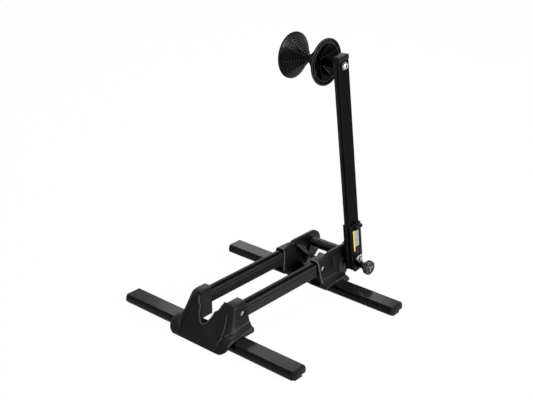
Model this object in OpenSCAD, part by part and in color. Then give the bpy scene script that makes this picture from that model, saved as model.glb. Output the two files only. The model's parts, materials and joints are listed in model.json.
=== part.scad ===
/* [Feet] */
// Length of each foot over its end caps
foot_l = 356; // [300:1:420]
// Distance between the centre lines of the two feet
foot_spacing = 245; // [225:1:300]
// Width of a foot across its bulged sides
foot_w = 33; // [30:0.5:36]
// Height of the foot's aluminium bar, without the pads
bar_h = 13.8; // [12:0.2:16]
// Radius of the bulge along each side of a foot
side_r = 11; // [10:0.5:12]
// Wall of the foot's extrusion
bar_wall = 1.6; // [1.2:0.1:2.4]
// Thickness of an end cap's flange
cap_t = 3.2; // [2:0.2:5]
// Length of an end cap's plug inside the bar
cap_plug_l = 14; // [8:1:20]
// Height of a rubber pad under the bar
pad_h = 4.6; // [3:0.2:6]
// Width of a rubber pad
pad_w = 16; // [13:0.5:20]
// Length of a rubber pad
pad_l = 97; // [60:1:110]
// Distance from the foot's end to its pad
pad_inset = 4; // [3.5:0.5:12]

/* [Rails] */
// Thickness of a rail
rail_t = 13; // [12:0.5:14]
// Height of a rail
rail_h = 25.3; // [23:0.1:27]
// Distance from the middle plane to a rail's inner face
rail_inner = 29.6; // [29:0.1:31]
// Height of a rail's lower edge above the top of the feet
rail_lift = 18; // [15:0.5:19]
// Distance from each foot's centre line to the rail's end
rail_end = 10; // [8:0.5:14]
// Wall of the rail's extrusion
rail_wall = 1.7; // [1.2:0.1:2.4]
// Number of fine grooves on a rail's inner face
rail_grooves = 4; // [2:1:5]

/* [Brackets] */
// Reach of a bracket before and behind its foot's centre line
bracket_reach = 33.5; // [31:0.5:38]
// Clear width between a bracket's two tunnels, for the tyre
tyre_gap = 55; // [48:1:56]
// Half width of a bracket at its flared brim
brim_half = 61.5; // [58:0.5:68]
// Half width of a bracket's side wall at the brim
wall_low = 52; // [50:0.5:56]
// Half width of a bracket's side wall at the shoulder
wall_high = 46.2; // [45:0.2:49]
// Height of a bracket's horns above the floor
horn_top = 66.5; // [65:0.5:70]
// Height of the rear bracket's arches above the floor
rear_horn_top = 64.5; // [64:0.5:68]
// Thickness of a bracket's moulded walls
bracket_wall = 2.8; // [2.2:0.1:3.2]
// Thickness of a bracket's slanting face plate
face_t = 4; // [3:0.2:5]
// Angle of a bracket's face from upright
face_tilt = 32; // [28:0.5:34]
// Gap between a face plate's lower edge and the floor
apron_gap = 4; // [2:0.5:6]
// Height of the front notch's lowest point above the floor
notch_low = 32; // [30:0.5:36]
// Half width of the front notch below its ledge
notch_half = 15; // [13:0.5:17]
// Height of the rear notch's lowest point above the floor
rear_notch_low = 44; // [40:0.5:48]

/* [Pivot] */
// Distance from the rear foot's centre line back to the pivot
pivot_back = 39; // [37:0.5:46]
// Height of the pivot above the floor
pivot_z = 53; // [51:0.5:56]
// Diameter of the pivot bolt
pivot_d = 8; // [6:0.5:9]
// Radius of each bracket lobe that carries the pivot
lobe_r = 22.5; // [21:0.5:24]
// Distance of a lobe's centre below the pivot
lobe_drop = 2.5; // [2:0.5:4]
// Wire of the torsion spring
spring_wire = 3.4; // [2.8:0.1:3.6]
// Mean radius of the torsion spring's coil
spring_r = 7.6; // [7.4:0.1:8.4]
// Greatest backward tilt of the arm from rest
tilt_back = 38; // [20:1:42]

/* [Arm] */
// Distance from the pivot to the roller's axis
arm_l = 343.8; // [300:1:380]
// Forward lean of the arm at rest
arm_lean = 8; // [4:0.5:12]
// Width of the arm's tube from front to back
tube_w = 25; // [22:0.5:28]
// Thickness of the arm's tube from side to side
tube_t = 12.5; // [11:0.5:14]
// Wall of the arm's tube
tube_wall = 1.5; // [1.2:0.1:2.2]
// Distance from the middle plane to the arm channel's inner face
channel_in = 52.4; // [52.2:0.1:56]
// Wall of the arm's channel
channel_wall = 2.2; // [1.8:0.1:3]
// Reach of the channel above the pivot
channel_up = 64; // [50:1:80]
// Reach of the channel below the pivot
channel_down = 24.5; // [22:0.5:26]
// Distance of the lock pin below the pivot
lock_drop = 12.5; // [12:0.1:13]
// Diameter of the lock pin
lock_pin_d = 6; // [5:0.5:6.5]
// Travel of the lock pin
lock_travel = 6; // [4:0.5:7]
// Diameter of the lock knob
knob_d = 25; // [20:0.5:30]
// Length of the lock knob with its skirt
knob_l = 14; // [13:0.5:18]

/* [Roller] */
// Radius of the roller's two cones at their rims
cone_r = 37.1; // [30:0.1:42]
// Distance from the middle plane to each cone's outer rim
cone_reach = 33.4; // [28:0.1:36]
// Radius of the roller's neck
neck_r = 7.4; // [7:0.1:9]
// Number of steps down each cone
cone_steps = 8; // [5:1:9]
// Number of radial ribs on each cone
cone_ribs = 8; // [6:1:10]
// Thickness of a cone's shell
cone_wall = 2.2; // [1.6:0.1:3]
// Diameter of the roller's axle
axle_d = 6; // [5:0.5:8]

/* [Hidden] */
$fn = 48;
// Overrun of every cut past the surface it leaves
over = 1;
// Air left between a piece and the seat it slides into
slip = 0.2;
// Running clearance of a shaft in its bore, on the radius
running = 0.05;
// Heights of the main levels
foot_top = pad_h + bar_h;
rail_z = foot_top + rail_lift;
rail_top = rail_z + rail_h;
rail_mid = rail_inner + rail_t / 2;
rail_mid_z = rail_z + rail_h / 2;
gap_half = tyre_gap / 2;
// Places along the length, about the middle of the whole stand
lobe_shift = 1;
tail_reach = pivot_back - lobe_shift + lobe_r;
front_y = -(foot_spacing + bracket_reach + tail_reach) / 2 + bracket_reach;
rear_y = front_y + foot_spacing;
pivot_y = rear_y + pivot_back;
// Small sizes of the feet
side_z = bar_h * 0.4;
bar_groove_w = pad_w * 0.6;
bar_groove_d = 1.8;
cap_step = 0.7;
cap_clear = 0.8;
pad_round = 1;
foot_bolt_d = 6;
foot_bolt_head_d = 10.5;
foot_bolt_head_h = 3.2;
foot_nut_w = 10;
foot_nut_h = 5;
foot_bolt_x = rail_mid;
// Small sizes of the rails
bead_h = 7;
bead_r = 5;
rail_round = 1.2;
rail_edge = 0.6;
undercut = 1.3;
undercut_h = 2.4;
rail_groove_w = 1;
rail_groove_d = 0.6;
rail_groove_pitch = 2.5;
rail_screw_d = 5;
rail_screw_head_d = 8;
rail_screw_head_h = 2.6;
rail_screw_l = 17;
rail_screw_z = rail_z + rail_h * 0.5;
rail_screw_sink = 1.6;
rail_screw_x = wall_high - rail_screw_sink;
front_screw_y = 23;
rear_screw_y = 27;
// Small sizes of the brackets
face_slope = tan(face_tilt);
base_t = 3.6;
wall_drop = 1.5;
wall_z = rail_z - wall_drop;
shoulder_r = 6;
horn_round = 5;
ear_r = 12;
ear_shares = [[0, 0.05], [0.12, 0.38], [0.35, 0.72], [0.7, 0.94], [1, 1]];
ear_edge_share = 0.18;
brim_shares = [[0, 1, 0.2], [0.2, 1, 0.6], [0.4, 1, 1.1], [0.46, 0.9, 1.3], [0.5, 0.72, 1.5], [0.55, 0.52, 1.6],
    [0.62, 0.38, 1.7], [0.74, 0.28, 1.8], [0.82, 0.25, 1.8], [0.9, 0.1, 1.8], [1, 0, 1.7]];
corner_r = 10;
rim_strip_h = 1.2;
border_shares = [[0.08, 0.78, 0.86], [0.34, 0.81, 0.91], [0.64, 0.78, 0.89], [0.91, 0.7, 0.82]];
front_notch_shares = [[0.3, 0, 0.3], [0.85, 0.34, 0.5], [1, 0.6, 0.1], [1.35, 0.66, 0.1], [1.52, 0.8, 0.2],
    [1.6, 1.4, 0]];
rear_notch_shares = [[0.2, 0, 0.2], [1.9, 1.3, 0]];
rear_extra = 3;
rear_reach = bracket_reach + rear_extra;
notch_rim_w = 2.4;
notch_rim_t = 2.4;
teeth = 8;
tooth_pitch = 3.9;
tooth_w = 2;
tooth_h = 1.2;
tooth_l = 5;
tooth_start = 1.5;
mouth_d = 7;
mouth_r = 1;
cheek_t = 3.4;
cheek_back = 31;
cheek_slope = 0.17;
lobe_t = 4;
lobe_start = 10;
lobe_top_r = 3;
lobe_flat = 8;
lobe_tail = 5;
lobe_left = gap_half;
lobe_inset = 0.6;
lobe_out = wall_high - lobe_inset;
lobe_top = pivot_z - lobe_drop + lobe_r;
bush_wall = 2;
bush_r = pivot_d / 2 + bush_wall;
lock_play = 0.3;
fold_forward = 82;
// Small sizes of the pivot and the arm
washer_rim = 4;
washer_r = pivot_d / 2 + washer_rim;
washer_t = 1.4;
nut_w = 13;
nut_h = 6;
head_w = 13;
head_h = 5.3;
bolt_end = 2;
sleeve_play = 0.5;
sleeve_r = spring_r - spring_wire / 2 - sleeve_play;
coil_gap = 0.5;
coil_end_gap = 9;
channel_out = channel_in + 2 * channel_wall + 2 * slip + tube_t;
tube_x = channel_in + channel_wall + slip;
tube_mid = tube_x + tube_t / 2;
channel_set = 0.5;
channel_front = channel_set - tube_w / 2;
channel_r = 2.4;
channel_corner_r = 6;
channel_back = tube_w / 2 + slip + channel_wall;
tube_low = -20;
tube_r = 2;
tube_groove_w = 3;
tube_groove_d = 0.9;
cap_h = 8;
cap_over = 0.8;
cap_edge_r = 2.4;
cap_dome_r = 3.5;
cap_side_r = 3;
tube_over = 8;
tube_top = arm_l + tube_over;
rivet_r = 2;
rivet_head_r = 3.6;
rivet_head_h = 1.2;
rivet_tail = 1;
rivet_low = 23;
rivet_fall = 12;
rivet_z = [rivet_low, channel_up - rivet_fall];
channel_bush_wall = 1.6;
channel_bush_r = pivot_d / 2 + channel_bush_wall;
peg_r = 3.4;
peg_drop = 4;
peg_z = channel_up - peg_drop;
peg_front = -5;
peg_short = 4;
peg_back = channel_back - peg_short;
peg_chamfer = 0.9;
peg_base_t = 2;
// Legs of the torsion spring
spring_bend = 3;
left_leg_z = 27.7;
left_leg_shares = [0, 0.3, 0.6, 0.88];
face_rest = rear_reach - (left_leg_z - apron_gap) * face_slope + (spring_wire / 2 + lock_play) / cos(face_tilt);
right_leg_rise = [9, 17, 23.2];
right_leg_shares = [0.1, 0.4, 0.75, 1];
leg_back_z = 31;
leg_back_y = (channel_back + spring_wire / 2 + lock_play) / cos(arm_lean) - leg_back_z * tan(arm_lean);
// Small sizes of the lock
lock_body_r = 5.6;
lock_end_t = 3;
lock_pin_gap = 2;
slot_floor = 0.8;
lock_pin_tip = lobe_out + lock_pin_gap;
lock_tip_l = 1;
lock_collar_r = 3.9;
lock_collar_t = 2;
lock_coil_l = 4;
lock_stem_r = 2;
knob_flutes = 8;
flute_r = 4;
flute_set = 2.4;
skirt_t = 1.4;
skirt_l = knob_l * 0.36;
knob_bore_l = knob_l * 0.57;
knob_edge_r = 2.4;
knob_dish_r = 0.5;
knob_dish_d = 1.2;
knob_start = channel_out + nut_h + lock_travel + lock_play;
lock_body_out = knob_start + knob_bore_l - lock_travel - lock_play;
// Collar of the pin when the pin is pulled out and its spring is pressed together
lock_collar_x = lock_body_out - lock_end_t - lock_collar_t - lock_coil_l;
// Small sizes of the roller
rim_t = 3;
rim_band = 6;
rim_chamfer = 1;
rim_rise = 1.4;
neck_x = 4;
neck_step = 1;
cone_rib_t = 1.2;
cone_web_t = 1.6;
web_foot = 2;
web_start = 3.2;
web_drop = 1.2;
web_step = 3;
lip_l = 2;
shell_extra = 0.6;
ring_set = 0.4;
ring_t = 1.6;
rib_rise = 0.4;
rib_rim_rise = 0.6;
axle_head_r = axle_d * 0.9;
axle_head_h = 3.2;
axle_end = 1.5;
axle_washer_rim = 3;
axle_washer_r = axle_d / 2 + axle_washer_rim;
axle_washer_t = 1;
roller_bush_wall = 1.4;
roller_bush_r = axle_d / 2 + roller_bush_wall;
hub_wall = 2.4;
spacer_wall = 3.2;
spacer_r = axle_d / 2 + spacer_wall;
axle_nut_w = 10;
axle_nut_h = 5;
hub_inset = 8;
// Distance from the middle plane to the outer face of each cone's hub
hub_reach = cone_reach - hub_inset;

// A polygon whose corners [x, y, r] are rounded by arcs of radius r
function unit(v) = v / norm(v);
function corner(a, b, c, r) =
    let (u = unit([a.x - b.x, a.y - b.y]), w = unit([c.x - b.x, c.y - b.y]),
        half = acos(max(-1, min(1, u * w))) / 2, m = unit(u + w),
        centre = [b.x, b.y] + m * r / sin(half),
        start = [b.x, b.y] + u * r / tan(half) - centre,
        end = [b.x, b.y] + w * r / tan(half) - centre,
        turn = atan2(start.x * end.y - start.y * end.x, start * end),
        steps = max(2, ceil(abs(turn) / 15)))
    [for (i = [0 : steps]) centre + [
        start.x * cos(turn * i / steps) - start.y * sin(turn * i / steps),
        start.x * sin(turn * i / steps) + start.y * cos(turn * i / steps)]];
function rounded(p) = [for (i = [0 : len(p) - 1])
    let (r = p[i].z, a = p[(i + len(p) - 1) % len(p)], c = p[(i + 1) % len(p)])
    each r == 0 ? [[p[i].x, p[i].y]] : corner(a, p[i], c, r)];
// The same list with its mirror image across x = 0 added in reverse
function both(p) = concat(p, [for (i = [len(p) - 1 : -1 : 0]) [-p[i].x, p[i].y, p[i].z]]);

// Extrudes a profile drawn in Y and Z along X, and one drawn in X and Z along Y
module along_x(from, to) {
    translate([from, 0, 0]) rotate([90, 0, 90]) linear_extrude(to - from) children();
}
module along_y(from, to) {
    translate([0, to, 0]) rotate([90, 0, 0]) linear_extrude(to - from) children();
}
module rod_x(from, to, r) {
    translate([from, 0, 0]) rotate([0, 90, 0]) cylinder(h = to - from, r = r);
}
module hex_x(from, to, across) {
    translate([from, 0, 0]) rotate([0, 90, 0]) cylinder(h = to - from, d = across / cos(30), $fn = 6);
}
module sides() {
    children();
    mirror([1, 0, 0]) children();
}
module at_pivot() {
    translate([0, pivot_y, pivot_z]) children();
}
module at_arm() {
    at_pivot() rotate([arm_lean, 0, 0]) children();
}
module at_roller() {
    at_arm() translate([0, 0, arm_l]) children();
}

// Section of a foot, in Y and Z, drawn in by shrink on every side
module foot_section(shrink) {
    core = foot_w / 2 - side_r;
    intersection() {
        translate([-foot_w / 2, pad_h + shrink]) square([foot_w, bar_h - 2 * shrink]);
        union() {
            translate([-core, pad_h]) square([2 * core, bar_h]);
            for (s = [-1, 1]) translate([s * core, pad_h + side_z]) circle(side_r - shrink);
        }
    }
}
module foot_bar() {
    half = foot_l / 2 - cap_t;
    difference() {
        along_x(-half, half) difference() {
            foot_section(0);
            difference() {
                foot_section(bar_wall);
                translate([-bar_groove_w / 2 - bar_wall, pad_h])
                    square([bar_groove_w + 2 * bar_wall, bar_groove_d + bar_wall]);
            }
            translate([-bar_groove_w / 2, pad_h - over]) square([bar_groove_w, bar_groove_d + over]);
        }
        sides() translate([foot_bolt_x, 0, 0]) cylinder(h = foot_top + over, d = foot_bolt_d + 2 * slip);
    }
}
module foot_caps() {
    half = foot_l / 2;
    sides() difference() {
        union() {
            along_x(half - cap_t, half - cap_step) cap_outline(0);
            along_x(half - cap_step, half) cap_outline(cap_step);
            along_x(half - cap_t - cap_plug_l, half - cap_t) difference() {
                foot_section(bar_wall + slip);
                translate([-bar_groove_w / 2 - bar_wall - slip, pad_h])
                    square([bar_groove_w + 2 * bar_wall + 2 * slip, bar_groove_d + bar_wall + slip]);
            }
        }
        along_x(half - cap_t - cap_plug_l - over, half - cap_t) intersection() {
            foot_section(2 * bar_wall + slip);
            translate([-foot_w / 2, pad_h + bar_groove_d + 2 * bar_wall + slip]) square([foot_w, bar_h]);
        }
    }
}
module cap_outline(shrink) {
    foot_section(shrink);
    translate([-pad_w / 2 + shrink, cap_clear + shrink]) square([pad_w - 2 * shrink, pad_h + shrink]);
}
// One rubber pad: a ribbed sole with a tongue that presses into the bar's groove
module foot_pads() {
    start = foot_l / 2 - pad_inset - pad_l;
    rib = pad_w / 9;
    sides() along_x(start, start + pad_l) difference() {
        union() {
            polygon(rounded(both([[pad_w / 2, 0, pad_round], [pad_w / 2, pad_h, 0]])));
            translate([-bar_groove_w / 2 + slip, 0]) square([bar_groove_w - 2 * slip, pad_h + bar_groove_d - slip]);
        }
        for (i = [-1 : 1]) translate([3 * i * rib - rib / 2, -over]) square([rib, over + rib / 2]);
    }
}

// Section of a rail, in X and Z from its lower edge, with its inner face towards -X
module rail_section() {
    half = rail_t / 2;
    neck_z = rail_h - bead_h - undercut_h;
    difference() {
        union() {
            polygon(rounded(both([[half, 0, rail_round], [half, neck_z, rail_edge]])));
            translate([-half + undercut, neck_z - over]) square([rail_t - 2 * undercut, undercut_h + 2 * over]);
            translate([0, rail_h - bead_h]) polygon(rounded(both([[half, 0, rail_edge], [half, bead_h, bead_r]])));
        }
        for (i = [0 : rail_grooves - 1]) translate([-half - over, rail_wall + (i + 0.6) * rail_groove_pitch])
            square([over + rail_groove_d, rail_groove_w]);
        translate([0, rail_wall]) polygon(rounded(both([
            [half - rail_wall, 0, rail_round], [half - rail_wall, neck_z - 2 * rail_wall, rail_round]])));
        translate([0, rail_h - bead_h / 2]) circle(bead_h / 2 - rail_wall);
    }
}
module right_rail() {
    difference() {
        along_y(front_y + rail_end, rear_y - rail_end) translate([rail_mid, rail_z]) rail_section();
        for (y = [front_y + front_screw_y, rear_y - rear_screw_y])
            translate([0, y, rail_screw_z]) rod_x(rail_mid, rail_inner + rail_t + over, rail_screw_d / 2 + running);
    }
}

// Levels of a bracket's skin from its lower edge up: [height, half width, set back, corner share]
function bracket_levels(top) = concat(
    [for (e = ear_shares) [apron_gap + e[0] * ear_r, brim_half - ear_r * (1 - e[1]), 0, ear_edge_share]],
    [for (b = brim_shares) [foot_top + b[0] * (wall_z - foot_top), wall_low + b[1] * (brim_half - wall_low),
        0, b[2]]],
    [for (a = [0 : 22.5 : 90]) [top - shoulder_r * (1 - sin(a)), wall_high - shoulder_r * (1 - cos(a)),
        horn_round * (1 - cos(a)), 1]]);
function face_y(z, reach) = (z - apron_gap) * face_slope - reach;
function bracket_ring(level, reach, inset, cheek) =
    let (z = level[0], half = level[1] - inset, r = level[3] * corner_r,
        front = cheek ? cheek_y(z) + inset : face_y(z, reach) + level[2],
        arc = [for (i = [0 : 4]) let (a = 90 * i / 4) [half - r + r * cos(a), front + r - r * sin(a)]],
        right = concat([[half, reach]], arc))
    [for (p = right) [p.x, p.y, z], for (i = [len(right) - 1 : -1 : 0]) [-right[i].x, right[i].y, z]];
// A solid lofted through rings of the same count of points
module loft(rings) {
    n = len(rings[0]);
    m = len(rings);
    polyhedron(
        points = [for (ring = rings) each ring],
        faces = concat(
            [[for (i = [n - 1 : -1 : 0]) i]],
            [for (k = [0 : m - 2], i = [0 : n - 1])
                let (j = (i + 1) % n) each [
                    [k * n + i, (k + 1) * n + j, (k + 1) * n + i],
                    [k * n + i, k * n + j, (k + 1) * n + j]]],
            [[for (i = [0 : n - 1]) (m - 1) * n + i]]),
        convexity = 6);
}
module bracket_skin(reach, top) {
    loft([for (level = bracket_levels(top)) bracket_ring(level, reach, 0, false)]);
}
// A frame on the slanting face: X across, Z up the slope from the toe, Y into the bracket
module on_face(reach) {
    translate([0, -reach, apron_gap]) rotate([-face_tilt, 0, 0]) children();
}
// Everything behind the slanting face by at least depth
module behind_face(reach, depth) {
    size = 4 * horn_top;
    on_face(reach) translate([-size / 2, depth, -size / 2]) cube([size, size, size]);
}
// The front bracket's notch has a ledge on each side, the rear bracket's is a shallow V
function up_slope(z) = (z - apron_gap) / cos(face_tilt);
module front_notch() {
    polygon(rounded(both([for (p = front_notch_shares)
        [p[0] * notch_half, up_slope(notch_low + p[1] * (horn_top - notch_low)), p[2] * notch_half]])));
}
module rear_notch(grow) {
    polygon(rounded(both([for (p = rear_notch_shares)
        [p[0] * notch_half, up_slope(rear_notch_low + p[1] * (horn_top - rear_notch_low)) - grow,
            p[2] * notch_half]])));
}
// Hollow of one tunnel: a snug seat for the rail and a wider mouth around it
module tunnel(reach) {
    mouth_out = wall_low - bracket_wall;
    mouth_high = wall_high - bracket_wall;
    mouth_top = rail_top + slip;
    along_y(rail_end - slip, reach + over) translate([rail_inner - slip, rail_z - slip])
        square([rail_t + 2 * slip, rail_h + 2 * slip]);
    along_y(reach - mouth_d, reach + over) polygon(rounded([
        [gap_half + bracket_wall, foot_top + base_t, mouth_r],
        [mouth_out, foot_top + base_t, mouth_r],
        [mouth_out, wall_z, 0],
        [mouth_high, mouth_top, shoulder_r - bracket_wall],
        [gap_half + bracket_wall, mouth_top, mouth_r]]));
}
module rail_screw_hole(y) {
    translate([0, y, rail_screw_z]) {
        rod_x(rail_inner + rail_t, wall_low + over, rail_screw_d / 2 + slip);
        rod_x(rail_screw_x, wall_low + over, rail_screw_head_d / 2 + 2 * slip);
    }
}
// Everything cut out of a bracket around its foot, its rails and their fasteners
module bracket_cuts(reach, screw_y) {
    intersection() {
        along_x(-brim_half - 2 * over, brim_half + 2 * over)
            translate([-2 * reach, -over]) square([4 * reach, foot_top + over]);
        behind_face(reach, face_t);
    }
    intersection() {
        along_y(-2 * reach, reach + over) translate([-gap_half, 0]) square([tyre_gap, horn_top + over]);
        behind_face(reach, face_t);
    }
    sides() {
        tunnel(reach);
        rail_screw_hole(screw_y);
        translate([foot_bolt_x, 0, foot_top - over]) cylinder(h = rail_lift, d = foot_bolt_d + 2 * slip);
        translate([foot_bolt_x, 0, foot_top + base_t])
            cylinder(h = rail_lift, d = (foot_nut_w + 2 * slip) / cos(30), $fn = 6);
    }
}
// Raised strip up each side of the face
module face_border(reach, top) {
    on_face(reach) sides() along_y(-rim_strip_h, over) polygon(concat(
        [for (p = border_shares) [p[1] * wall_high, up_slope(apron_gap + p[0] * (top - apron_gap))]],
        [for (i = [len(border_shares) - 1 : -1 : 0]) let (p = border_shares[i])
            [p[2] * wall_high, up_slope(apron_gap + p[0] * (top - apron_gap))]]));
}
module front_bracket() {
    translate([0, front_y, 0]) {
        difference() {
            union() {
                bracket_skin(bracket_reach, horn_top);
                face_border(bracket_reach, horn_top);
            }
            bracket_cuts(bracket_reach, front_screw_y);
            on_face(bracket_reach) along_y(-2 * over, 2 * face_t) front_notch();
        }
        notch_teeth();
    }
}
// Rows of small teeth on the walls just behind the front notch
module notch_teeth() {
    on_face(bracket_reach) sides() for (i = [0 : teeth - 1])
        translate([gap_half - tooth_h, face_t + tooth_start, up_slope(notch_low + face_t) + i * tooth_pitch])
            cube([tooth_h + bracket_wall / 2, tooth_l, tooth_w]);
}
// The rear bracket adds a rim behind its notch, cheeks that run on behind its face, and two lobes
module rear_bracket() {
    translate([0, rear_y, 0]) difference() {
        union() {
            mirror([0, 1, 0]) {
                difference() {
                    union() {
                        bracket_skin(rear_reach, rear_horn_top);
                        face_border(rear_reach, rear_horn_top);
                    }
                    bracket_cuts(rear_reach, rear_screw_y);
                }
                intersection() {
                    on_face(rear_reach) along_y(over, face_t + notch_rim_t) difference() {
                        rear_notch(notch_rim_w);
                        rear_notch(0);
                    }
                    bracket_skin(rear_reach, rear_horn_top);
                }
                cheeks();
            }
            lobe_plate(-lobe_left - lobe_t, rear_horn_top);
            lobe_plate(lobe_out - lobe_t, rear_horn_top - shoulder_r);
        }
        mirror([0, 1, 0]) {
            on_face(rear_reach) along_y(-2 * over, 3 * face_t) rear_notch(0);
            sides() {
                tunnel(rear_reach);
                rail_screw_hole(rear_screw_y);
            }
        }
        translate([0, pivot_back, pivot_z]) {
            rod_x(-lobe_out, lobe_out + over, bush_r + running);
            lock_slot();
        }
    }
}
// The rear bracket's side walls run on behind its face as far as the arm
module cheeks() {
    levels = [for (level = bracket_levels(rear_horn_top)) if (level[0] >= foot_top + base_t) level];
    in_x = wall_high - shoulder_r;
    difference() {
        loft([for (level = levels) bracket_ring(level, 0, running, true)]);
        loft([for (level = levels) bracket_ring(
            [level[0] + (level[0] > wall_z ? over : -over), level[1], 0, level[3]], over, cheek_t, true)]);
        along_y(-2 * cheek_back, over) translate([-in_x, 0]) square([2 * in_x, 2 * horn_top]);
    }
}
function cheek_y(z) = -cheek_back - (z - rear_horn_top + shoulder_r) * cheek_slope;
// Side plate in Y and Z, from the mouth to the lobe around the pivot
module lobe_plate(from, start_z) {
    back = pivot_back - lobe_shift + lobe_r;
    low_y = rear_reach - (foot_top + base_t - apron_gap) * face_slope - face_t / 2;
    along_x(from, from + lobe_t) polygon(rounded([
        [mouth_r - rear_reach, rail_mid_z, 0],
        [mouth_r - rear_reach, start_z, 0],
        [-lobe_start, lobe_top, lobe_start],
        [back, lobe_top, lobe_r - slip],
        [back, lobe_top - 2 * lobe_r + lobe_flat, lobe_r / 2],
        [pivot_back + lobe_tail, foot_top + base_t, lobe_top_r],
        [rear_reach - face_t, apron_gap + face_t, 0],
        [low_y, foot_top + base_t, 0],
        [low_y, rail_mid_z, 0]]));
}
// Arc for the lock pin over the arm's backward tilt, and a hole where the folded arm locks
module lock_slot() {
    r = lock_pin_d / 2 + lock_play;
    rest = arm_lean - 90;
    far = 3 * lock_drop;
    along_x(lobe_out - lobe_t + slot_floor, lobe_out + over) {
        intersection() {
            difference() {
                circle(lock_drop + r);
                circle(lock_drop - r);
            }
            polygon([[0, 0], far * [cos(rest), sin(rest)], far * [cos(rest - tilt_back), sin(rest - tilt_back)]]);
        }
        for (a = [rest, rest - tilt_back, rest + fold_forward])
            translate(lock_drop * [cos(a), sin(a)]) circle(r);
    }
}
module rail_screws(y) {
    sides() translate([0, y, rail_screw_z]) difference() {
        union() {
            rod_x(rail_screw_x, rail_screw_x + rail_screw_head_h, rail_screw_head_d / 2);
            rod_x(rail_inner + rail_t - 2 * rail_wall, rail_screw_x + over, rail_screw_d / 2);
        }
        hex_x(rail_screw_x + rail_screw_head_h / 2, rail_screw_x + 2 * rail_screw_head_h, rail_screw_d * 0.6);
    }
}
module foot_bolts(y) {
    sides() translate([foot_bolt_x, y, 0]) difference() {
        union() {
            translate([0, 0, pad_h - foot_bolt_head_h]) cylinder(h = foot_bolt_head_h, d = foot_bolt_head_d);
            translate([0, 0, pad_h - over]) cylinder(h = bar_h + base_t + foot_nut_h + 2 * over, d = foot_bolt_d);
        }
        translate([0, 0, pad_h - foot_bolt_head_h - over])
            cylinder(h = over + foot_bolt_head_h / 2, d = foot_bolt_d * 0.75, $fn = 6);
    }
}
module foot_bolt_nuts() {
    for (y = [front_y, rear_y]) sides() translate([foot_bolt_x, y, foot_top + base_t]) difference() {
        cylinder(h = foot_nut_h, d = foot_nut_w / cos(30), $fn = 6);
        translate([0, 0, -over]) cylinder(h = foot_nut_h + 2 * over, r = foot_bolt_d / 2 + running);
    }
}

// Places along the pivot, from the bolt's head on the left to its nut on the right
bolt_left = -lobe_left - lobe_t - washer_t;
bolt_right = channel_out + nut_h;
module pivot_bolt() {
    at_arm() {
        rod_x(bolt_left, bolt_right + bolt_end, pivot_d / 2);
        hex_x(bolt_left - head_h, bolt_left, head_w);
    }
}
module pivot_nut() {
    at_arm() difference() {
        rotate([30, 0, 0]) hex_x(bolt_right - nut_h, bolt_right, nut_w);
        rod_x(bolt_right - nut_h - over, bolt_right + over, pivot_d / 2 + running);
    }
}
module pivot_washers() {
    at_pivot() {
        washer(bolt_left, washer_t);
        washer(lobe_out, channel_in - lobe_out - slip);
    }
}
module washer(from, t) {
    difference() {
        rod_x(from, from + t, washer_r);
        rod_x(from - over, from + t + over, pivot_d / 2 + running);
    }
}
module lobe_bushes() {
    at_pivot() for (x = [-lobe_left - lobe_t, lobe_out - lobe_t]) difference() {
        rod_x(x, x + lobe_t, bush_r);
        rod_x(x - over, x + lobe_t + over, pivot_d / 2 + running);
    }
}
module spring_sleeve() {
    at_pivot() difference() {
        rod_x(-lobe_left, lobe_out - lobe_t, sleeve_r);
        rod_x(-lobe_left - over, lobe_out, pivot_d / 2 + running);
    }
}

// The torsion spring: one wire with a leg against the rear bracket's face and a leg behind the arm
spring_left = spring_wire / 2 + slip - lobe_left;
spring_right = lobe_out - lobe_t - coil_end_gap;
spring_start_a = 164;
spring_end_a = 144;
spring_turns = floor((spring_right - spring_left) / (spring_wire + coil_gap));
rings = 8;
wire_sides = 6;
function wire_points() =
    let (steps = rings * spring_turns, turn = 360 * spring_turns + spring_start_a - spring_end_a,
        coil = [for (i = [0 : steps]) let (a = spring_start_a - turn * i / steps)
            [spring_left + (spring_right - spring_left) * i / steps, spring_r * cos(a), spring_r * sin(a)]],
        first = coil[0], last = coil[steps],
        foot = [spring_left, face_rest - pivot_back, left_leg_z - pivot_z], back = last + right_leg_rise)
    concat(
        [for (share = left_leg_shares) foot + share * (first - foot)],
        coil,
        [for (share = right_leg_shares) last + share * right_leg_rise],
        [[back.x + spring_bend, leg_back_y, leg_back_z], [back.x + 2 * spring_bend, leg_back_y, leg_back_z],
            [tube_mid, leg_back_y, leg_back_z]]);
// Least gap between the coil's turns and between the coil and its legs, over the wire's diameter
function least_gap(p) = min([for (i = [0 : len(p) - 1], j = [i + rings - 1 : 1 : len(p) - 1])
    norm(p[i] - p[j])]) - spring_wire;
echo(least_gap_of_the_spring_mm = least_gap(wire_points()));
module torsion_spring() {
    at_pivot() wire(wire_points(), spring_wire / 2, wire_sides);
}
// A closed tube of sides along a list of points
function tangent(p, i) = unit(p[min(i + 1, len(p) - 1)] - p[max(i - 1, 0)]);
function turned(v, t) = unit(v - (v * t) * t);
function frames(p, i, v) = i == len(p) ? [] :
    let (t = tangent(p, i), n = turned(v, t)) concat([[n, cross(t, n)]], frames(p, i + 1, n));
module wire(p, r, k) {
    f = frames(p, 0, [1, 0, 0.1]);
    n = len(p);
    polyhedron(
        points = [for (i = [0 : n - 1], j = [0 : k - 1]) let (a = 360 * j / k)
            p[i] + r * (cos(a) * f[i][0] + sin(a) * f[i][1])],
        faces = concat(
            [[for (j = [k - 1 : -1 : 0]) j]],
            [for (i = [0 : n - 2], j = [0 : k - 1]) let (l = (j + 1) % k) each [
                [i * k + j, i * k + l, (i + 1) * k + l],
                [i * k + j, (i + 1) * k + l, (i + 1) * k + j]]],
            [[for (j = [0 : k - 1]) (n - 1) * k + j]]),
        convexity = 12);
}

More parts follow.
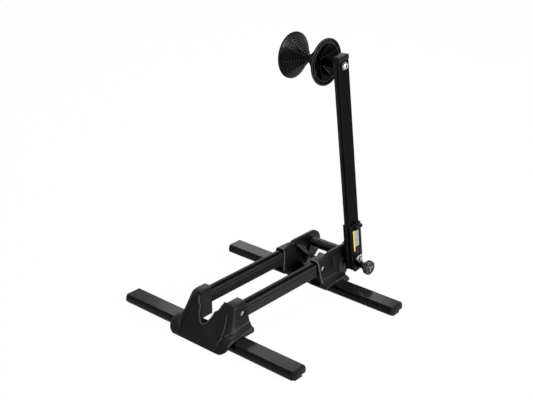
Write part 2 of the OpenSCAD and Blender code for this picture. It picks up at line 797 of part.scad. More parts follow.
module arm_channel() {
    at_arm() difference() {
        translate([0, 0, -channel_down]) linear_extrude(channel_down + channel_up) difference() {
            polygon(rounded([
                [channel_in, channel_front, 0], [channel_out, channel_front, 0],
                [channel_out, channel_back, channel_r], [channel_in, channel_back, channel_r]]));
            translate([channel_in + channel_wall, channel_front - over])
                square([tube_t + 2 * slip, channel_back - channel_wall - channel_front + over]);
        }
        rod_x(channel_in - over, channel_out + over, pivot_d / 2 + running);
        translate([0, 0, -lock_drop]) rod_x(tube_x, channel_out + over, lock_body_r + running);
        translate([0, 0, -lock_drop]) rod_x(channel_in - over, tube_x, lock_pin_d / 2 + slip);
        for (z = rivet_z) translate([tube_mid, 0, z]) rotate([-90, 0, 0])
            cylinder(h = channel_back + over, r = rivet_r + running);
        channel_corners();
    }
}
// Rounded lower corners of the channel, seen from the side
module channel_corners() {
    r = channel_corner_r;
    along_x(channel_in - over, channel_out + over) for (y = [channel_front, channel_back])
        difference() {
            translate([y, -channel_down]) square(2 * r, center = true);
            translate([y - sign(y) * r, -channel_down + r]) circle(r);
        }
}
module arm_tube() {
    half = tube_w / 2;
    at_arm() difference() {
        translate([tube_mid, 0, tube_low]) linear_extrude(tube_top - tube_low) difference() {
            polygon(rounded([
                [-tube_t / 2, -half, tube_r], [tube_t / 2, -half, tube_r],
                [tube_t / 2, half, tube_r], [-tube_t / 2, half, tube_r]]));
            polygon(rounded([
                [-tube_t / 2 + tube_wall, -half + tube_wall + tube_groove_d, tube_r / 2],
                [tube_t / 2 - tube_wall, -half + tube_wall + tube_groove_d, tube_r / 2],
                [tube_t / 2 - tube_wall, half - tube_wall, tube_r / 2],
                [-tube_t / 2 + tube_wall, half - tube_wall, tube_r / 2]]));
            translate([-tube_groove_w / 2, -half - over]) square([tube_groove_w, over + tube_groove_d]);
        }
        translate([0, 0, arm_l]) rod_x(tube_x - over, tube_x + tube_t + over, axle_d / 2 + running);
        rod_x(tube_x - over, tube_x + tube_t + over, channel_bush_r + running);
        translate([0, 0, -lock_drop]) rod_x(tube_x - over, tube_x + tube_t + over, lock_body_r + running);
        for (z = rivet_z) translate([tube_mid, 0, z]) rotate([-90, 0, 0])
            cylinder(h = channel_back + over, r = rivet_r + running);
    }
}
module arm_top_cap() {
    half = tube_w / 2 + cap_over;
    side = tube_t / 2 + cap_over;
    plug_x = tube_t / 2 - tube_wall - slip;
    plug_front = tube_wall + tube_groove_d + slip - tube_w / 2;
    plug_back = tube_w / 2 - tube_wall - slip;
    at_arm() translate([tube_mid, 0, tube_top]) {
        intersection() {
            linear_extrude(cap_h) polygon(rounded([
                [-side, -half, cap_edge_r], [side, -half, cap_edge_r],
                [side, half, cap_edge_r], [-side, half, cap_edge_r]]));
            along_x(-2 * side, 2 * side) polygon(rounded([
                [-half, 0, 0], [half, 0, 0], [half, cap_h, cap_dome_r], [-half, cap_h, cap_dome_r]]));
            along_y(-2 * half, 2 * half) polygon(rounded([
                [-side, 0, 0], [side, 0, 0], [side, cap_h, cap_side_r], [-side, cap_h, cap_side_r]]));
        }
        translate([0, 0, -cap_h / 2]) linear_extrude(cap_h) polygon(rounded([
            [-plug_x, plug_front, tube_r], [plug_x, plug_front, tube_r],
            [plug_x, plug_back, tube_r], [-plug_x, plug_back, tube_r]]));
    }
}
module channel_rivets() {
    at_arm() for (z = rivet_z) translate([tube_mid, 0, z]) rotate([-90, 0, 0]) {
        translate([0, 0, channel_back]) intersection() {
            cylinder(h = rivet_head_h, r = rivet_head_r);
            translate([0, 0, -rivet_head_r * 2]) sphere(r = rivet_head_r * 2 + rivet_head_h);
        }
        translate([0, 0, tube_w / 2 - tube_wall - rivet_tail]) {
            cylinder(h = channel_back + rivet_head_h / 2 - tube_w / 2 + tube_wall + rivet_tail, r = rivet_r);
            cylinder(h = rivet_tail, r = rivet_r * 1.5);
        }
    }
}
module channel_bush() {
    at_arm() difference() {
        rod_x(channel_in + channel_wall, channel_out - channel_wall, channel_bush_r);
        rod_x(channel_in, channel_out, pivot_d / 2 + running);
    }
}
module side_peg() {
    at_arm() translate([channel_out, 0, peg_z]) {
        translate([peg_r, peg_front, 0]) rotate([-90, 0, 0]) {
            cylinder(h = peg_back - peg_front - peg_chamfer, r = peg_r);
            translate([0, 0, peg_back - peg_front - peg_chamfer])
                cylinder(h = peg_chamfer, r1 = peg_r, r2 = peg_r - peg_chamfer);
        }
        translate([0, peg_front, -peg_r]) cube([peg_base_t, 2 * peg_r, 2 * peg_r]);
    }
}

// The lock: a threaded housing, a pin with a collar and its spring, and a fluted knob
module at_lock() {
    at_arm() translate([0, 0, -lock_drop]) children();
}
module lock_housing() {
    at_lock() difference() {
        rod_x(tube_x, lock_body_out, lock_body_r);
        rod_x(tube_x - over, lock_body_out - lock_end_t, lock_collar_r + running);
        rod_x(tube_x - over, lock_body_out + over, lock_stem_r + running);
    }
}
module lock_pin() {
    at_lock() {
        translate([lock_pin_tip, 0, 0]) rotate([0, 90, 0])
            cylinder(h = lock_tip_l, r1 = lock_pin_d / 2 - lock_tip_l, r2 = lock_pin_d / 2);
        rod_x(lock_pin_tip + lock_tip_l, lock_collar_x, lock_pin_d / 2);
        rod_x(lock_collar_x, lock_collar_x + lock_collar_t, lock_collar_r);
        rod_x(lock_collar_x, knob_start + knob_l - 2 * knob_dish_d, lock_stem_r);
    }
}
module lock_pin_spring() {
    from = lock_collar_x + lock_collar_t;
    at_lock() difference() {
        rod_x(from, from + lock_coil_l, lock_collar_r - slip);
        rod_x(from - over, from + lock_coil_l + over, lock_stem_r + slip);
    }
}
module lock_knob() {
    r = knob_d / 2;
    bore = lock_body_r + lock_play;
    skirt = bore + skirt_t;
    at_lock() difference() {
        translate([knob_start, 0, 0]) rotate([0, 90, 0]) rotate_extrude() polygon(rounded([
            [bore, 0, 0], [skirt, 0, knob_dish_r], [skirt, skirt_l * 0.8, knob_dish_r],
            [r, skirt_l * 1.2, knob_edge_r], [r, knob_l, knob_edge_r],
            [r * 0.7, knob_l, knob_dish_r], [r * 0.62, knob_l - knob_dish_d, knob_dish_r],
            [0, knob_l - knob_dish_d, 0], [0, knob_bore_l, 0], [bore, knob_bore_l, 0]]));
        for (i = [0 : knob_flutes - 1]) rotate([360 * i / knob_flutes, 0, 0]) translate([0, r + flute_set, 0])
            rod_x(knob_start - over, knob_start + knob_l + over, flute_r);
        rod_x(knob_start, knob_start + knob_l - 2 * knob_dish_d, lock_stem_r + running);
    }
}

// Half of the roller: a stepped hollow cone with radial ribs, its rim towards +X
module cone_half() {
    slope_r = cone_r - rim_band;
    slope_x = cone_reach - rim_t - rim_chamfer;
    step_r = (slope_r - neck_r) / cone_steps;
    step_x = (slope_x - neck_x) / cone_steps;
    // Flank points from the neck to the rim, each step a tread and a riser
    flank = concat([[neck_r, 0]], [for (i = [0 : cone_steps - 1]) each [
        [neck_r + i * step_r, neck_x + (i + 0.45) * step_x],
        [neck_r + (i + 0.85) * step_r, neck_x + (i + 0.75) * step_x]]],
        [[slope_r, slope_x], [cone_r - rim_chamfer, slope_x + rim_rise],
            [cone_r, slope_x + rim_rise + rim_chamfer], [cone_r, cone_reach]]);
    inner = [[cone_r - cone_wall, cone_reach], [cone_r - cone_wall, cone_reach - lip_l],
        [slope_r - neck_step, slope_x + cone_wall + shell_extra],
        [neck_r + step_r, neck_x + step_x + cone_wall * 1.6], [neck_r, neck_x + cone_wall * 1.8]];
    difference() {
        union() {
            rotate([0, 90, 0]) rotate_extrude($fn = 96)
                polygon(concat(flank, inner, [[0, neck_x + cone_wall * 1.8], [0, 0]]));
            // Hub, inner ring and webs on the hollow side
            rod_x(0, hub_reach, roller_bush_r + hub_wall);
            difference() {
                rod_x(slope_x, cone_reach, slope_r - ring_set);
                rod_x(slope_x - over, cone_reach + over, slope_r - ring_set - ring_t);
            }
            intersection() {
                for (i = [0 : cone_ribs - 1]) rotate([360 * (i + 0.5) / cone_ribs, 0, 0])
                    translate([0, 0, -cone_web_t / 2]) cube([cone_reach - lip_l, cone_r - neck_step, cone_web_t]);
                rotate([0, 90, 0]) rotate_extrude($fn = 96) polygon([
                    [0, 0], [neck_r, neck_x], [slope_r, slope_x + neck_step],
                    [cone_r - neck_step, slope_x + web_start],
                    [cone_r - neck_step, cone_reach - web_drop], [slope_r - web_step, cone_reach - web_drop],
                    [neck_r + web_foot, hub_reach - web_step], [0, hub_reach - web_step]]);
            }
            // Ribs down the stepped flank
            intersection() {
                for (i = [0 : cone_ribs - 1]) rotate([360 * i / cone_ribs, 0, 0])
                    translate([0, 0, -cone_rib_t / 2]) cube([cone_reach, cone_r, cone_rib_t]);
                rotate([0, 90, 0]) rotate_extrude($fn = 96) polygon([
                    [neck_r - neck_step, neck_x - rib_rise], [slope_r, slope_x - rib_rim_rise],
                    [slope_r, slope_x + neck_step], [neck_r - neck_step, neck_x + web_step]]);
            }
        }
        rod_x(-over, cone_reach + over, roller_bush_r + running);
    }
}
module right_cone() {
    at_roller() cone_half();
}
module left_cone() {
    at_roller() mirror([1, 0, 0]) cone_half();
}
module roller_bushes() {
    at_roller() sides() difference() {
        rod_x(slip / 2, hub_reach, roller_bush_r);
        rod_x(-over, hub_reach + over, axle_d / 2 + running);
    }
}
axle_left = -hub_reach - axle_washer_t - slip - axle_nut_h;
axle_right = tube_x + tube_t + axle_washer_t;
module roller_axle() {
    at_roller() {
        rod_x(axle_left - axle_end, axle_right, axle_d / 2);
        difference() {
            translate([axle_right, 0, 0]) rotate([0, 90, 0]) rotate_extrude() polygon(rounded([
                [0, 0, 0], [axle_head_r, 0, 0], [axle_head_r * 0.9, axle_head_h * 0.7, axle_d * 0.12],
                [axle_head_r * 0.6, axle_head_h, axle_d * 0.08], [0, axle_head_h, 0]]));
            hex_x(axle_right + axle_head_h / 2, axle_right + 2 * axle_head_h, axle_d * 0.65);
        }
    }
}
module roller_nut() {
    at_roller() difference() {
        hex_x(axle_left, axle_left + axle_nut_h, axle_nut_w);
        rod_x(axle_left - over, axle_left + axle_nut_h + over, axle_d / 2 + running);
    }
}
module roller_spacer() {
    at_roller() difference() {
        rod_x(hub_reach + axle_washer_t + slip, tube_x, spacer_r);
        rod_x(hub_reach, tube_x + over, axle_d / 2 + running);
    }
}
module roller_washers() {
    at_roller() for (x = [-hub_reach - axle_washer_t - slip / 2, hub_reach + slip / 2, tube_x + tube_t])
        difference() {
            rod_x(x, x + axle_washer_t, axle_washer_r);
            rod_x(x - over, x + axle_washer_t + over, axle_d / 2 + running);
        }
}

// Each piece in the colour it has in the photograph
black_alloy = "#17181a";
black_plastic = "#202123";
black_rubber = "#101112";
bright_zinc = "#c9ccd0";
black_steel = "#26272a";

color(black_alloy) translate([0, front_y, 0]) foot_bar();  // front_foot_bar
color(black_alloy) translate([0, rear_y, 0]) foot_bar();  // rear_foot_bar
color(black_plastic) translate([0, front_y, 0]) foot_caps();  // front_foot_caps
color(black_plastic) translate([0, rear_y, 0]) foot_caps();  // rear_foot_caps
color(black_rubber) translate([0, front_y, 0]) foot_pads();  // front_foot_pads
color(black_rubber) translate([0, rear_y, 0]) foot_pads();  // rear_foot_pads
color(black_plastic) front_bracket();
color(black_plastic) rear_bracket();
color(black_alloy) mirror([1, 0, 0]) right_rail();  // left_rail
color(black_alloy) right_rail();
color(bright_zinc) rail_screws(front_y + front_screw_y);  // front_rail_screws
color(bright_zinc) rail_screws(rear_y - rear_screw_y);  // rear_rail_screws
color(bright_zinc) foot_bolts(front_y);  // front_foot_bolts
color(bright_zinc) foot_bolts(rear_y);  // rear_foot_bolts
color(bright_zinc) foot_bolt_nuts();
color(bright_zinc) pivot_bolt();
color(bright_zinc) pivot_nut();
color(bright_zinc) pivot_washers();
color(black_rubber) lobe_bushes();
color(black_steel) spring_sleeve();
color(black_steel) torsion_spring();
color(black_steel) arm_channel();
color(black_alloy) arm_tube();
color(black_plastic) arm_top_cap();
color(bright_zinc) channel_rivets();
color(black_steel) channel_bush();
color(black_plastic) side_peg();
color(black_steel) lock_housing();
color(bright_zinc) lock_pin();
color(bright_zinc) lock_pin_spring();
color(black_plastic) lock_knob();
color(black_plastic) left_cone();
color(black_plastic) right_cone();
color(black_rubber) roller_bushes();
color(bright_zinc) roller_axle();
color(bright_zinc) roller_nut();
color(bright_zinc) roller_spacer();
color(bright_zinc) roller_washers();
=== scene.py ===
# A floor stand for one bicycle wheel: crossbar feet, two rails in moulded brackets and a sprung arm
# with a V roller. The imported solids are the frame. Black mouldings, the spring, the nuts and the
# decal are dressed here, and every surface gets its material.
import json
import math

import bpy
from mathutils import Matrix, Vector


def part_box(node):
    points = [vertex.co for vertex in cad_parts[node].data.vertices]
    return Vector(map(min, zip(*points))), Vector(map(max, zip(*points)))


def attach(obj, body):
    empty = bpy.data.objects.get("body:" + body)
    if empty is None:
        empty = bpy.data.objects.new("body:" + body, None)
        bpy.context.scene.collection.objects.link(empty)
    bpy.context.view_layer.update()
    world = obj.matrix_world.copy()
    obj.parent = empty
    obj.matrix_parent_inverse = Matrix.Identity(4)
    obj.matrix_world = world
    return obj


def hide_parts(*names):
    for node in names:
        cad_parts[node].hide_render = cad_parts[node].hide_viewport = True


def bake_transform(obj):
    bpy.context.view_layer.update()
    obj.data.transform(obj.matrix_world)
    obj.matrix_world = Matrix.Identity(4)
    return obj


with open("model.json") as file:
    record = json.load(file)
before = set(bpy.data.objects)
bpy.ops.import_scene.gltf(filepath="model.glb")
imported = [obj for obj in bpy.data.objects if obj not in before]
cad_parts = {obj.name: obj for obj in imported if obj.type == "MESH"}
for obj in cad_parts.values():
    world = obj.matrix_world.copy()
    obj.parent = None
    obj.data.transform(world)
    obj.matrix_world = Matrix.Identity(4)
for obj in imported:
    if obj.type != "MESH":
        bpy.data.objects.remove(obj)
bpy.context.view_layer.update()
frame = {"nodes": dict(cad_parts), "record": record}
nodes = frame["nodes"]
MM = 0.001


def span(node_name, axis):
    """Where a solid begins and ends along an axis, in millimetres."""
    low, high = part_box(node_name)
    i = "XYZ".index(axis)
    return low[i] / MM, high[i] / MM


# Sizes that the dressing shares with the solids, in millimetres and degrees
FRONT_Y = -136.0
REAR_Y = 109.0
PIVOT = Vector((0.0, 148.0, 53.0))
ARM_LEAN = 8.0
ARM_L = 343.8
LOCK_DROP = 12.5
lean = math.radians(ARM_LEAN)
ROLLER = PIVOT + ARM_L * Vector((0, -math.sin(lean), math.cos(lean)))
KNOB_AXIS = PIVOT + LOCK_DROP * Vector((0, math.sin(lean), -math.cos(lean)))
foot_low, foot_top = span("front_foot_bar", "Z")
rail_low, rail_top = span("left_rail", "Z")
rail_middle = sum(span("right_rail", "X")) / 2
tube_middle = sum(span("arm_tube", "X")) / 2
channel_inner, channel_outer = span("arm_channel", "X")
nut_face = span("pivot_nut", "X")[1]
knob_face = span("lock_knob", "X")[1]
axle_end = span("roller_axle", "X")[1]


# Helpers for materials
def linear(code):
    """sRGB hex code to linear colour."""
    parts = [int(code[i:i + 2], 16) / 255 for i in (1, 3, 5)]
    return tuple(c / 12.92 if c <= 0.04045 else ((c + 0.055) / 1.055) ** 2.4 for c in parts) + (1.0,)


def grey(value):
    return (value, value, value, 1.0)


def per_metre(size_mm):
    """A noise's scale, from the real size of its grain."""
    return 1 / (size_mm * MM)


def add(tree, kind, inputs=None, links=None, stops=None, **settings):
    """Adds a node, with its properties, input values, links from other nodes and colour stops."""
    made = tree.nodes.new(kind)
    for name, value in settings.items():
        setattr(made, name, value)
    for key, value in (inputs or {}).items():
        made.inputs[key].default_value = value
    for key, source in (links or {}).items():
        tree.links.new(source, made.inputs[key])
    if stops:
        cells = made.color_ramp.elements
        while len(cells) < len(stops):
            cells.new(0.5)
        for cell, (place, colour) in zip(cells, stops):
            cell.position = place
            cell.color = colour
    return made


def new_material(name):
    material = bpy.data.materials.new(name)
    material.use_nodes = True
    tree = material.node_tree
    return material, tree, tree.nodes["Principled BSDF"]


def banded(tree, place, axis, bands):
    """Colours at places in millimetres along one axis across a part; here they paint highlights and shade.
    """
    low, high = bands[0][0], bands[-1][0]
    across = add(tree, "ShaderNodeSeparateXYZ", links={0: place}).outputs[axis]
    share = add(tree, "ShaderNodeMapRange", {"From Min": low * MM, "From Max": high * MM},
                {"Value": across})
    return add(tree, "ShaderNodeValToRGB", links={0: share.outputs["Result"]},
               stops=[((at - low) / (high - low), colour) for at, colour in bands])


def in_linear(bands):
    return [(at, linear(code)) for at, code in bands]


# Real sizes of the finishes' patterns, and depths of their reliefs, in millimetres
FLOW_MARK, GRAIN_DEPTH = 45.5, 0.2
DIE_LINE, DIE_DEPTH, FILM_CLOUD = 0.714, 0.1, 71.4
PEEL, PEEL_DEPTH, HANDLING = 2.22, 0.3, 33.3
PLATING = 3.125
BLOOM, RUBBER_GRAIN, RUBBER_DEPTH = 16.7, 0.556, 0.2
INK = 1.43
DIE_STRETCH = 0.02
GROOVE_W, GROOVE_EDGE = 1.0, 0.15
GROOVES, GROOVE_FIRST, GROOVE_PITCH = 4, 3.2, 2.5


# Materials
def moulded(name, dark, light, roughness, grain_mm, bump, specular):
    """Injection-moulded black nylon: a spark-eroded grain, faint mottling and rubbed patches.

    The real grain is under a tenth of a millimetre, so it is drawn coarser to show.
    """
    material, tree, shader = new_material(name)
    place = add(tree, "ShaderNodeTexCoord").outputs["Object"]
    grain = add(tree, "ShaderNodeTexNoise",
                {"Scale": per_metre(grain_mm), "Detail": 3.0, "Roughness": 0.6}, {"Vector": place})
    flow = add(tree, "ShaderNodeTexNoise",
               {"Scale": per_metre(FLOW_MARK), "Detail": 4.0, "Roughness": 0.55, "Distortion": 0.6},
               {"Vector": place})
    tone = add(tree, "ShaderNodeValToRGB", links={0: flow.outputs["Fac"]},
               stops=[(0.3, linear(dark)), (0.72, linear(light))])
    gloss = add(tree, "ShaderNodeMapRange",
                {"From Min": 0.3, "From Max": 0.7, "To Min": roughness - 0.05, "To Max": roughness + 0.07},
                {"Value": flow.outputs["Fac"]})
    relief = add(tree, "ShaderNodeBump", {"Strength": bump, "Distance": GRAIN_DEPTH * MM},
                 {"Height": grain.outputs["Fac"]})
    tree.links.new(tone.outputs["Color"], shader.inputs["Base Color"])
    tree.links.new(gloss.outputs["Result"], shader.inputs["Roughness"])
    tree.links.new(relief.outputs["Normal"], shader.inputs["Normal"])
    shader.inputs["IOR"].default_value = 1.5
    shader.inputs["Specular IOR Level"].default_value = specular
    return material


def grooved(tree, place, coat_and_sheen, bands, grooves):
    """Paints shade into the fine grooves of a rail's coat, on its inner face only."""
    stops = [(bands[0][0], grey(1.0))]
    for z in grooves:
        stops += [(z - GROOVE_EDGE, grey(1.0)), (z, grey(0.0)), (z + GROOVE_W, grey(0.0)),
                  (z + GROOVE_W + GROOVE_EDGE, grey(1.0))]
    lined = banded(tree, place, "Z", stops + [(bands[-1][0], grey(1.0))])
    across = add(tree, "ShaderNodeSeparateXYZ", links={0: place}).outputs["X"]
    off_middle = add(tree, "ShaderNodeMath", links={0: across}, operation="ABSOLUTE").outputs[0]
    outer = add(tree, "ShaderNodeMath", {1: rail_middle * MM}, {0: off_middle}, operation="GREATER_THAN")
    kept = add(tree, "ShaderNodeMath", links={0: outer.outputs[0], 1: lined.outputs["Color"]},
               operation="MAXIMUM")
    return add(tree, "ShaderNodeVectorMath", links={0: coat_and_sheen, 1: kept.outputs[0]},
               operation="MULTIPLY").outputs[0]


def extruded(name, length_axis, bands, roughness, specular, band_axis="Z", grooves=()):
    """Black anodised extruded aluminium: die lines along the length under a clear, glossy film.

    The bands paint highlights and shade into the colour, lighter and darker at places across the part
    where its rounds and flats catch or miss the light. Real die lines are finer, and are drawn coarser to
    show.
    """
    material, tree, shader = new_material(name)
    place = add(tree, "ShaderNodeTexCoord").outputs["Object"]
    turned = add(tree, "ShaderNodeMapping", links={"Vector": place})
    if length_axis == "Z":
        turned.inputs["Rotation"].default_value = (-lean, 0, 0)
    stretched = add(tree, "ShaderNodeMapping", links={"Vector": turned.outputs["Vector"]})
    stretched.inputs["Scale"].default_value = [DIE_STRETCH if axis == length_axis else 1 for axis in "XYZ"]
    lines = add(tree, "ShaderNodeTexNoise", {"Scale": per_metre(DIE_LINE), "Detail": 2.0},
                {"Vector": stretched.outputs["Vector"]})
    cloud = add(tree, "ShaderNodeTexNoise",
                {"Scale": per_metre(FILM_CLOUD), "Detail": 3.0, "Distortion": 0.4}, {"Vector": place})
    # Painted highlights and painted shade, in bands across the part
    coat_and_sheen = banded(tree, place, band_axis, in_linear(bands)).outputs["Color"]
    if grooves:
        coat_and_sheen = grooved(tree, place, coat_and_sheen, bands, grooves)
    worn = add(tree, "ShaderNodeMapRange",
               {"From Min": 0.3, "From Max": 0.7, "To Min": 0.8, "To Max": 1.15},
               {"Value": cloud.outputs["Fac"]})
    tone = add(tree, "ShaderNodeVectorMath", links={0: coat_and_sheen, 1: worn.outputs["Result"]},
               operation="MULTIPLY")
    gloss = add(tree, "ShaderNodeMapRange",
                {"From Min": 0.3, "From Max": 0.7, "To Min": roughness - 0.03, "To Max": roughness + 0.05},
                {"Value": lines.outputs["Fac"]})
    relief = add(tree, "ShaderNodeBump", {"Strength": 0.12, "Distance": DIE_DEPTH * MM},
                 {"Height": lines.outputs["Fac"]})
    tree.links.new(tone.outputs["Vector"], shader.inputs["Base Color"])
    tree.links.new(gloss.outputs["Result"], shader.inputs["Roughness"])
    tree.links.new(relief.outputs["Normal"], shader.inputs["Normal"])
    shader.inputs["IOR"].default_value = 1.5
    shader.inputs["Specular IOR Level"].default_value = specular
    return material


def powder_coated(name, dark, light, roughness, specular, bands=()):
    """Black powder-coated steel: smooth and semi-gloss, with a slight orange-peel ripple.

    The bands paint highlights and shade at places across the part, on top of the coat's colour.
    """
    material, tree, shader = new_material(name)
    place = add(tree, "ShaderNodeTexCoord").outputs["Object"]
    peel = add(tree, "ShaderNodeTexNoise", {"Scale": per_metre(PEEL), "Detail": 1.0}, {"Vector": place})
    cloud = add(tree, "ShaderNodeTexNoise", {"Scale": per_metre(HANDLING), "Detail": 3.0},
                {"Vector": place})
    tone = add(tree, "ShaderNodeValToRGB", links={0: cloud.outputs["Fac"]},
               stops=[(0.35, linear(dark)), (0.7, linear(light))])
    relief = add(tree, "ShaderNodeBump", {"Strength": 0.08, "Distance": PEEL_DEPTH * MM},
                 {"Height": peel.outputs["Fac"]})
    coat_and_sheen = tone.outputs["Color"]
    if bands:
        # Painted highlights and painted shade, in bands across the part, added to the coat
        painted_sheen = banded(tree, place, "X", in_linear(bands))
        coat_and_sheen = add(tree, "ShaderNodeVectorMath", links={0: coat_and_sheen, 1: painted_sheen.outputs["Color"]},
                   operation="ADD").outputs[0]
    tree.links.new(coat_and_sheen, shader.inputs["Base Color"])
    tree.links.new(relief.outputs["Normal"], shader.inputs["Normal"])
    shader.inputs["Roughness"].default_value = roughness
    shader.inputs["Specular IOR Level"].default_value = specular
    return material


def zinc_plated(name, dark, light, roughness):
    """Barrel-plated steel: a bright metal with a cloudy, slightly streaked sheen."""
    material, tree, shader = new_material(name)
    place = add(tree, "ShaderNodeTexCoord").outputs["Object"]
    cloud = add(tree, "ShaderNodeTexNoise", {"Scale": per_metre(PLATING), "Detail": 4.0}, {"Vector": place})
    tone = add(tree, "ShaderNodeValToRGB", links={0: cloud.outputs["Fac"]},
               stops=[(0.3, linear(dark)), (0.7, linear(light))])
    gloss = add(tree, "ShaderNodeMapRange",
                {"From Min": 0.3, "From Max": 0.7, "To Min": roughness - 0.06, "To Max": roughness + 0.1},
                {"Value": cloud.outputs["Fac"]})
    tree.links.new(tone.outputs["Color"], shader.inputs["Base Color"])
    tree.links.new(gloss.outputs["Result"], shader.inputs["Roughness"])
    shader.inputs["Metallic"].default_value = 1.0
    return material


def solid_rubber(name, dark, light):
    """Pressed rubber: dull, with a dusty bloom and a fine grain."""
    material, tree, shader = new_material(name)
    place = add(tree, "ShaderNodeTexCoord").outputs["Object"]
    bloom = add(tree, "ShaderNodeTexNoise", {"Scale": per_metre(BLOOM), "Detail": 5.0}, {"Vector": place})
    grain = add(tree, "ShaderNodeTexNoise", {"Scale": per_metre(RUBBER_GRAIN), "Detail": 2.0},
                {"Vector": place})
    tone = add(tree, "ShaderNodeValToRGB", links={0: bloom.outputs["Fac"]},
               stops=[(0.35, linear(dark)), (0.75, linear(light))])
    relief = add(tree, "ShaderNodeBump", {"Strength": 0.3, "Distance": RUBBER_DEPTH * MM},
                 {"Height": grain.outputs["Fac"]})
    tree.links.new(tone.outputs["Color"], shader.inputs["Base Color"])
    tree.links.new(relief.outputs["Normal"], shader.inputs["Normal"])
    shader.inputs["Roughness"].default_value = 0.82
    shader.inputs["Specular IOR Level"].default_value = 0.3
    return material


def vinyl_film(name, colour, print_colour):
    """Printed vinyl film: satin, with a barely uneven ink."""
    material, tree, shader = new_material(name)
    place = add(tree, "ShaderNodeTexCoord").outputs["Object"]
    ink = add(tree, "ShaderNodeTexNoise", {"Scale": per_metre(INK), "Detail": 2.0}, {"Vector": place})
    tone = add(tree, "ShaderNodeValToRGB", links={0: ink.outputs["Fac"]},
               stops=[(0.35, linear(colour)), (0.75, linear(print_colour))])
    tree.links.new(tone.outputs["Color"], shader.inputs["Base Color"])
    shader.inputs["Roughness"].default_value = 0.38
    return material


# Painted highlights and shade on the aluminium and the channel: colours at places across each part, in
# millimetres
RAIL_GROOVES = [rail_low + GROOVE_FIRST + GROOVE_PITCH * i for i in range(GROOVES)]
FOOT_BANDS = [(foot_low, "#303030"), (foot_low + 0.8, "#262626"), (foot_low + 1.4, "#050505"),
              (foot_low + 4, "#0a0a0a"), (foot_top - 6, "#191919"), (foot_top - 3.2, "#0c0c0c"),
              (foot_top - 2.4, "#020202"), (foot_top - 0.4, "#030303"), (foot_top - 0.05, "#1f1f1f"),
              (foot_top, "#1f1f1f")]
RAIL_BANDS = [(rail_low, "#383838"), (rail_low + 0.6, "#303030"), (rail_low + 1.4, "#282828"),
              (rail_low + 17.5, "#282828"), (rail_low + 19.0, "#303030"), (rail_low + 21.6, "#2c2c2c"),
              (rail_low + 22.8, "#101010"), (rail_low + 23.6, "#020202"), (rail_top, "#010101")]
ARM_BANDS = [(tube_middle - 6.3, "#161616"), (tube_middle - 5.6, "#262626"), (tube_middle - 4.0, "#2e2e2e"),
             (tube_middle - 0.5, "#2e2e2e"), (tube_middle + 0.8, "#040404"), (tube_middle + 3.6, "#030303"),
             (tube_middle + 4.8, "#242424"), (tube_middle + 5.7, "#1c1c1c"), (tube_middle + 6.15, "#060606"),
             (tube_middle + 6.3, "#050505")]
CHANNEL_BANDS = [(channel_inner, "#060606"), (channel_inner + 5.1, "#000000"),
                 (channel_inner + 6.6, "#3c3c3c"), (channel_inner + 9.8, "#424242"),
                 (channel_outer - 6.1, "#040404"), (channel_outer - 3.7, "#000000"),
                 (channel_outer - 2.1, "#3a3a3a"), (channel_outer - 0.7, "#2c2c2c"),
                 (channel_outer - 0.1, "#000000"), (channel_outer, "#000000")]

# Nylon of the brackets: satin near-black with a soft sheen, matt enough to show the face's slope
bracket_nylon = moulded("spark_eroded_nylon", "#111211", "#191b1a", roughness=0.36, grain_mm=0.6,
                        bump=0.25, specular=0.09)
# The same nylon in lighter greys, as painted highlights on beads along rims and edges and on ribs
rim_highlight_nylon = moulded("nylon_rim_highlights", "#4a4c4b", "#5c5e5d", roughness=0.34, grain_mm=0.6,
                    bump=0.1, specular=0.18)
edge_highlight_nylon = moulded("nylon_edge_highlights", "#2e302f", "#3e403f", roughness=0.34, grain_mm=0.6,
                       bump=0.1, specular=0.15)
rib_highlight_nylon = moulded("nylon_rib_highlights", "#1e1f1f", "#2e2f2f", roughness=0.3, grain_mm=0.5,
                    bump=0.1, specular=0.2)
# Nylon of the caps, the roller and the knob: black, blacker and glossier, and a pale grey that paints a
# glint on the knob
cap_nylon = moulded("moulded_nylon_caps", "#0c0c0c", "#151515", roughness=0.36, grain_mm=0.5,
                    bump=0.2, specular=0.07)
cone_nylon = moulded("moulded_nylon_roller", "#070808", "#0d0e0e", roughness=0.3, grain_mm=0.5,
                     bump=0.2, specular=0.1)
knob_nylon = moulded("moulded_nylon_knob", "#222223", "#38383a", roughness=0.34, grain_mm=0.45,
                     bump=0.25, specular=0.3)
knob_glint_nylon = moulded("nylon_knob_glint", "#6a6a6c", "#8c8c8e", roughness=0.3, grain_mm=0.45,
                     bump=0.1, specular=0.3)
# Turned nylon: duller than the mouldings
bush_nylon = moulded("turned_nylon_bush", "#121212", "#1a1a1a", roughness=0.45, grain_mm=0.4,
                     bump=0.15, specular=0.25)
# Anodised aluminium: painted light and dark bands along each bar, highlights and shade that read as its
# rounds and flats
alloy_feet = extruded("anodised_alloy_feet", "X", FOOT_BANDS, roughness=0.13, specular=0.08)
alloy_rails = extruded("anodised_alloy_rails", "Y", RAIL_BANDS, roughness=0.15, specular=0.03,
                       grooves=RAIL_GROOVES)
alloy_arm = extruded("anodised_alloy_arm", "Z", ARM_BANDS, roughness=0.2, specular=0.025, band_axis="X")
# Steel: a semi-gloss black coat, the channel's with painted highlights and shade in bands on its front, and
# an oily black wire
coated_steel = powder_coated("powder_coated_steel", "#060607", "#0b0b0b", roughness=0.24, specular=0.12)
channel_steel = powder_coated("powder_coated_channel", "#060607", "#0b0b0b", roughness=0.24,
                              specular=0.08, bands=CHANNEL_BANDS)
spring_steel = powder_coated("oiled_spring_wire", "#020202", "#050505", roughness=0.2, specular=0.5)
# Bright zinc on bolts and nuts: the only light metal on the stand
zinc = zinc_plated("bright_zinc_plate", "#94989c", "#e8eaec", roughness=0.18)
